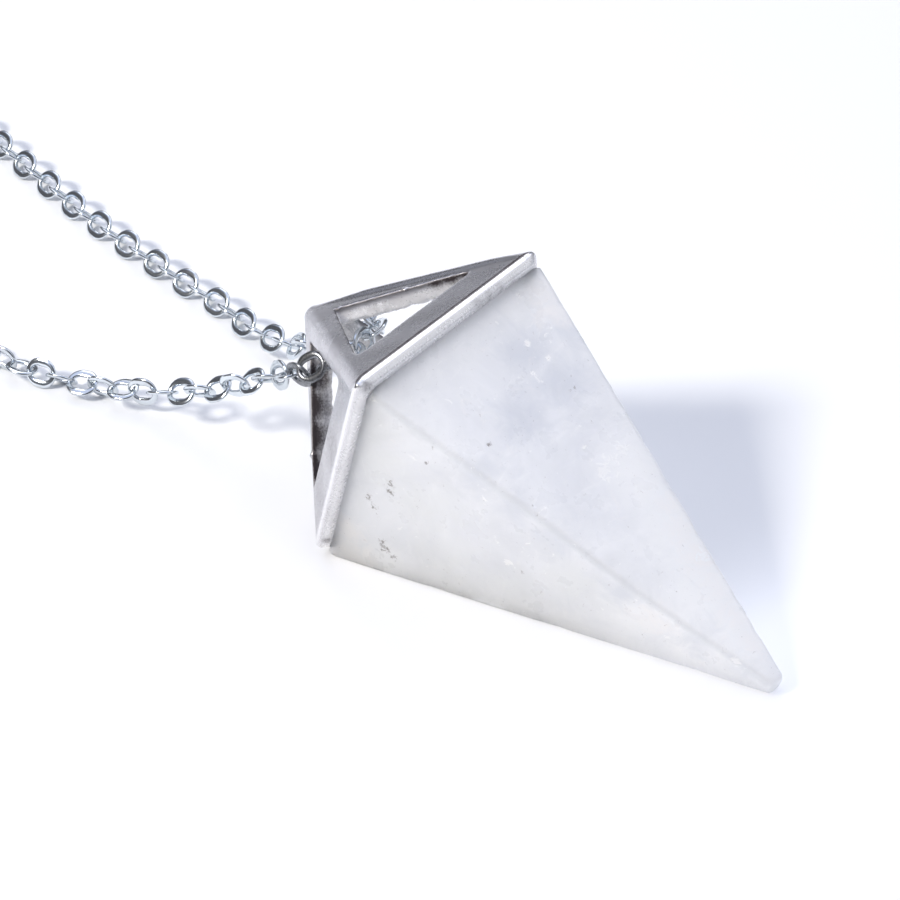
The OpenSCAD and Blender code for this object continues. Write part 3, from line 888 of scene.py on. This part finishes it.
def silverGroup(settings):
    # Silver's surface: cloudy tone, fine pits and a greyer, rougher skin where it was never polished and
    # where shade is painted
    group = bpy.data.node_groups.new("silverSkin", "ShaderNodeTree")
    for direction, kind, names in (("INPUT", "Color", ("Bright", "Dull")),
                                   ("INPUT", "Float", ("Unpolished and shade", "Rubbed", "Frost", "Smooth", "Coarse",
                                                       "Cloud scale")),
                                   ("OUTPUT", "Color", ("Colour",)),
                                   ("OUTPUT", "Float", ("Roughness", "Height", "Metal"))):
        for name in names:
            group.interface.new_socket(name, in_out=direction, socket_type="NodeSocket" + kind)
    inputs = group.nodes.new("NodeGroupInput").outputs
    outputs = group.nodes.new("NodeGroupOutput").inputs

    def times(a, b):
        return mathNode(group, "MULTIPLY", a, b)

    def less(a, b):
        return mathNode(group, "SUBTRACT", a, b)

    def plus(a, b, clamp=False):
        return mathNode(group, "ADD", a, b, clamp)

    place = objectPlace(group)
    cloudMiddle, cloudGain = settings["cloud"]
    cloud = addNoise(group, place, inputs["Cloud scale"], *settings["cloudNoise"])
    pits = addNoise(group, place, *settings["pitNoise"])
    dull = plus(inputs["Unpolished and shade"], times(less(cloud, cloudMiddle), cloudGain), True)
    rubbed = times(inputs["Rubbed"], less(1.0, dull))
    colour = mixColours(group, inputs["Frost"], inputs["Bright"], settings["frostColour"])
    colour = mixColours(group, dull, colour, inputs["Dull"])
    colour = mixColours(group, rubbed, colour, settings["rubbedColour"])
    rough = plus(inputs["Smooth"], times(less(inputs["Coarse"], inputs["Smooth"]), dull))
    rough = less(rough, times(rubbed, settings["rubbedSmooth"]))
    rough = plus(rough, times(less(pits, 0.5), settings["pitRough"]), True)
    least, more = settings["pitHeight"]
    height = times(pits, plus(times(dull, more), least))
    metal = less(1.0, times(inputs["Frost"], settings["frostLess"]))
    for name, value in (("Colour", colour), ("Roughness", rough), ("Height", height), ("Metal", metal)):
        group.links.new(value, outputs[name])
    return group


def silverMaterial(name, group, finish, bump):
    # Material with the group at one finish; the unpolished and painted-shade parts, the rubbed parts and the
    # matt parts are joined by the caller
    material, tree, shader = newTree(name)
    skin = addNode(tree, "ShaderNodeGroup", node_tree=group)
    for key, value in finish.items():
        skin.inputs[key].default_value = value
    tree.links.new(skin.outputs["Colour"], shader.inputs["Base Color"])
    tree.links.new(skin.outputs["Roughness"], shader.inputs["Roughness"])
    addBump(tree, shader, skin.outputs["Height"], *bump)
    return material, tree, shader, skin


def castSilver(group, settings):
    # Inner walls are duller; sooty spots with painted shade and the painted dark line over the front rim,
    # broken up by noise, are darkest; the rim is rubbed bright
    material, tree, shader, skin = silverMaterial("cast_silver", group, settings["cast"],
                                                  settings["castBump"])
    grain = mathNode(tree, "SUBTRACT", addNoise(tree, objectPlace(tree), *settings["sootAndShadeNoise"]), 0.5)
    grain = mathNode(tree, "MULTIPLY", grain, settings["sootAndShadeGain"])
    sootAndShade = addRamp(tree, mathNode(tree, "ADD", readAttribute(tree, "sootAndShade"), grain), settings["sootAndShadeRamp"])
    walls = addRamp(tree, readAttribute(tree, "depth"), settings["wallRamp"])
    tree.links.new(mathNode(tree, "ADD", walls, sootAndShade, True), skin.inputs["Unpolished and shade"])
    tree.links.new(readAttribute(tree, "rim"), skin.inputs["Rubbed"])
    tree.links.new(readAttribute(tree, "frost"), skin.inputs["Frost"])
    tree.links.new(skin.outputs["Metal"], shader.inputs["Metallic"])
    return material


def chainSilver(group, settings):
    # Plated links and clasp, each a little duller by its own tone; the links inside the cap get a
    # painted shade
    material, tree, shader, skin = silverMaterial("chain_silver", group, settings["chain"],
                                                  settings["chainBump"])
    dull = mathNode(tree, "MULTIPLY", readAttribute(tree, "tone"), settings["chainDull"])
    tree.links.new(dull, skin.inputs["Unpolished and shade"])
    shader.inputs["Metallic"].default_value = 1.0
    return material


crystalSet = {
    "milk": (0.86, 0.868, 0.893, 1),
    "deep": (0.76, 0.77, 0.795, 1),
    "white": (0.97, 0.97, 0.975, 1),
    # noise (scale, detail, roughness, distortion) and ramp of the clouds, and of the drawn-out veils
    "cloud": ((170, 6, 0.62, 0.8), [(0.34, 0.0), (0.64, 1.0)]),
    "veil": ((260, 8, 0.7, 1.6), [(0.55, 0.0), (0.72, 1.0)]),
    "veilTurn": (0.4, 0.2, 0.7),
    "veilScale": (1, 3, 1),
    "veilStrength": 0.45,
    # laid over them in this order: attribute, colour, noise's scale, detail and gain, where the sum of
    # attribute and noise starts to show and where it is full, strength
    "layers": [
        # painted light
        ("paintedLight", (0.97, 0.97, 0.975, 1), 300, 5, 1.2, 0.1, 1.1, 0.85),
        ("moss", (0.80, 0.81, 0.80, 1), 350, 5, 1.5, 0.2, 1.0, 0.55),
        ("smoke", (0.66, 0.68, 0.725, 1), 380, 5, 2.2, 0.2, 1.3, 0.7),
        ("cream", (0.97, 0.93, 0.905, 1), 520, 5, 1.8, 0.2, 1.0, 0.75),
        # painted shade along the near ridge
        ("ridge", (0.62, 0.635, 0.66, 1), 600, 5, 1.4, 0.2, 1.1, 0.6),
        ("wisps", (1.0, 1.0, 1.0, 1), 1400, 7, 4.5, 0.6, 1.1, 1.0),
        ("specks", (0.19, 0.165, 0.15, 1), 3400, 7, 3.6, 0.5, 1.1, 0.9),
    ],
    "layerNoise": (0.68, 0.8),  # roughness and distortion
    "polish": ((420, 4, 0.6), [(0.3, 0.24), (0.75, 0.4)]),  # noise and ramp of the roughness
    "grain": (900, 5, 0.6),
    "bump": (0.15, 0.1),
    "passed": (0.8, 0.82, 0.88, 1),  # light that the thin end lets through
    "shader": {"IOR": 1.54, "Subsurface Weight": 0.8, "Subsurface Radius": (1.0, 1.0, 1.05),
               "Subsurface Scale": 0.009},
}


def crystalMaterial(settings):
    # Milky quartz: soft clouds and veils, with smoky, creamy and greenish parts, white flakes, brown
    # specks, painted light towards the thin end and along the lower facet's bottom edge, and a painted
    # shade line along the near ridge, each laid where its attribute and a noise allow
    material, tree, shader = newTree("milky_quartz")
    place = objectPlace(tree)
    turned = addNode(tree, "ShaderNodeMapping", {"Vector": place, "Rotation": settings["veilTurn"],
                                                 "Scale": settings["veilScale"]}).outputs[0]
    (cloudNoise, cloudRamp), (veilNoise, veilRamp) = settings["cloud"], settings["veil"]
    cloud = addRamp(tree, addNoise(tree, place, *cloudNoise), cloudRamp)
    veil = addRamp(tree, addNoise(tree, turned, *veilNoise), veilRamp)
    veil = mathNode(tree, "MULTIPLY", veil, settings["veilStrength"])
    colour = mixColours(tree, cloud, settings["deep"], settings["milk"])
    colour = mixColours(tree, veil, colour, settings["white"])
    for key, shade, scale, detail, gain, low, high, strength in settings["layers"]:
        noise = mathNode(tree, "SUBTRACT", addNoise(tree, place, scale, detail, *settings["layerNoise"]), 0.5)
        noise = mathNode(tree, "MULTIPLY", noise, gain)
        total = mathNode(tree, "ADD", readAttribute(tree, key), noise)
        shown = mathNode(tree, "MULTIPLY", addRamp(tree, total, [(low, 0.0), (high, 1.0)]), strength, True)
        colour = mixColours(tree, shown, colour, shade)
    tree.links.new(colour, shader.inputs["Base Color"])
    polishNoise, polishRamp = settings["polish"]
    polish = addRamp(tree, addNoise(tree, place, *polishNoise), polishRamp)
    tree.links.new(polish, shader.inputs["Roughness"])
    addBump(tree, shader, addNoise(tree, place, *settings["grain"]), *settings["bump"])
    # light passes the thin end on its way to the table, as through the real crystal
    passed = mixColours(tree, readAttribute(tree, "thin"), (0, 0, 0, 1), settings["passed"])
    clear = addNode(tree, "ShaderNodeBsdfTransparent", {"Color": passed})
    shadowRay = addNode(tree, "ShaderNodeLightPath").outputs["Is Shadow Ray"]
    both = addNode(tree, "ShaderNodeMixShader", {0: shadowRay, 1: shader.outputs["BSDF"],
                                                 2: clear.outputs["BSDF"]})
    tree.links.new(both.outputs["Shader"], tree.nodes["Material Output"].inputs["Surface"])
    for key, value in settings["shader"].items():
        shader.inputs[key].default_value = value
    return material


# Floor, light and world

lightSet = {
    # name: place, what it looks at, width, height, power, colour
    "key": ((-373, 147, 422), (-2, -90, 5), 124, 124, 2.75, (1.0, 0.955, 0.88)),
}


def placeLights(settings):
    # Soft rectangular lamps, each facing what it looks at
    for name, (place, target, wide, tall, power, colour) in settings.items():
        data = bpy.data.lights.new(name, "AREA")
        data.shape = "RECTANGLE"
        data.size, data.size_y = wide * millimetre, tall * millimetre
        data.energy = power
        data.color = colour
        back = np.subtract(place, target) / np.linalg.norm(np.subtract(place, target))
        level = np.cross([0, 0, 1], back)
        level /= np.linalg.norm(level)
        placeObject(data, level, np.cross(back, level), back, place)


worldSet = {
    # height of the direction's tip, from straight down to straight up, and the room's colour there
    "stops": [(0.0, (0.8, 0.82, 0.85)), (0.49, (0.4, 0.41, 0.43)), (0.5, (0.14, 0.14, 0.145)),
              (0.63, (0.15, 0.15, 0.165)), (0.72, (0.4, 0.43, 0.51)), (0.84, (0.9, 0.97, 1.22)),
              (1.0, (0.97, 1.06, 1.34))],
    # screens and dark parts of the room: azimuth, elevation, inner and outer reach, colour
    "patches": [
        (48, 44, 13, 17, (2.8, 2.8, 2.85)),
        (-138, 38, 20, 42, (0.13, 0.13, 0.14)),
        (125, 20, 22, 40, (0.13, 0.13, 0.145)),
        (-50, 28, 10, 24, (1.15, 1.17, 1.22)),
        (-9, 51, 9, 15, (2.2, 2.15, 2.1)),
    ],
    "strength": 0.83,
}


def makeWorld(settings):
    # Colour by height, then one soft round patch after another laid over it
    world = bpy.data.worlds.new("studio")
    bpy.context.scene.world = world
    world.use_nodes = True
    tree = world.node_tree
    direction = addNode(tree, "ShaderNodeTexCoord").outputs["Generated"]
    height = addNode(tree, "ShaderNodeSeparateXYZ", {0: direction}).outputs["Z"]
    share = addNode(tree, "ShaderNodeMath", {0: height, 1: 0.5, 2: 0.5}, operation="MULTIPLY_ADD")
    colour = addRamp(tree, share.outputs[0], settings["stops"])
    for azimuth, elevation, inner, outer, shade in settings["patches"]:
        a, e, near, far = np.radians([azimuth, elevation, inner, outer])
        towards = (np.cos(a) * np.cos(e), np.sin(a) * np.cos(e), np.sin(e))
        facing = addNode(tree, "ShaderNodeVectorMath", {0: direction, 1: towards}, operation="DOT_PRODUCT")
        mask = addNode(tree, "ShaderNodeMapRange", {"Value": facing.outputs["Value"],
                                                    "From Min": np.cos(far), "From Max": np.cos(near)},
                       interpolation_type="SMOOTHSTEP")
        colour = mixColours(tree, mask.outputs["Result"], colour, (*shade, 1))
    tree.links.new(colour, tree.nodes["Background"].inputs["Color"])
    tree.nodes["Background"].inputs["Strength"].default_value = settings["strength"]


floorSet = {
    "half": 1500,
    "squares": 4,
    "colour": (0.93, 0.94, 0.96, 1),
    "roughness": 0.6,
}


def makeFloor(settings):
    # Plain level square about the origin, in a few smaller squares
    count = settings["squares"] + 1
    side = np.linspace(-settings["half"], settings["half"], count)
    x, y = np.meshgrid(side, side, indexing="ij")
    points = np.stack([x, y, 0 * x], -1).reshape(-1, 3)
    floor = makePiece("floor", points, gridFaces(count, count, False, False)[:, ::-1])
    material, _, shader = newTree("pale_paper")
    shader.inputs["Base Color"].default_value = settings["colour"]
    shader.inputs["Roughness"].default_value = settings["roughness"]
    floor.data.materials.append(material)


# The scene

placeCamera(cameraSet)
placeLights(lightSet)
makeWorld(worldSet)
makeFloor(floorSet)
bpy.context.scene.view_settings.view_transform = "Standard"
print("camera, light and floor done")

linkCentre, linkAxes, nearLink, farLink = linkFrames(chainSet)
frontLinks = np.arange(nearLink, farLink + 1)
backLinks = np.setdiff1d(np.arange(len(linkCentre)), frontLinks)
chainFront = makeLinks("cable_links_front", frontLinks, chainSet["nearGrid"], chainSet)
chainBack = makeLinks("cable_links_back", backLinks, chainSet["farGrid"], chainSet)
print("chain done:", len(linkCentre), "links")

clasp = makeClasp(claspSet)
stone = makeStone(stoneSet)
print("clasp and stone done")
cap = makeCap(capSet)
print("cap done:", len(cap.data.polygons), "faces")

skin = silverGroup(silverSet)
capMetal = castSilver(skin, silverSet)
chainMetal = chainSilver(skin, silverSet)
crystal = crystalMaterial(crystalSet)

for piece, node, slot, material in (
    (stone, "crystal_point", "crystal", crystal),
    (cap, "cap_frame", "cap_metal", capMetal),
    (chainFront, "chain_front", "chain_metal", chainMetal),
    (chainBack, "chain_back", "chain_metal", chainMetal),
    (clasp, "clasp", "chain_metal", chainMetal),
):
    piece.data.materials.append(material)
    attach(piece, "root")
    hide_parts(node)
print("materials done")
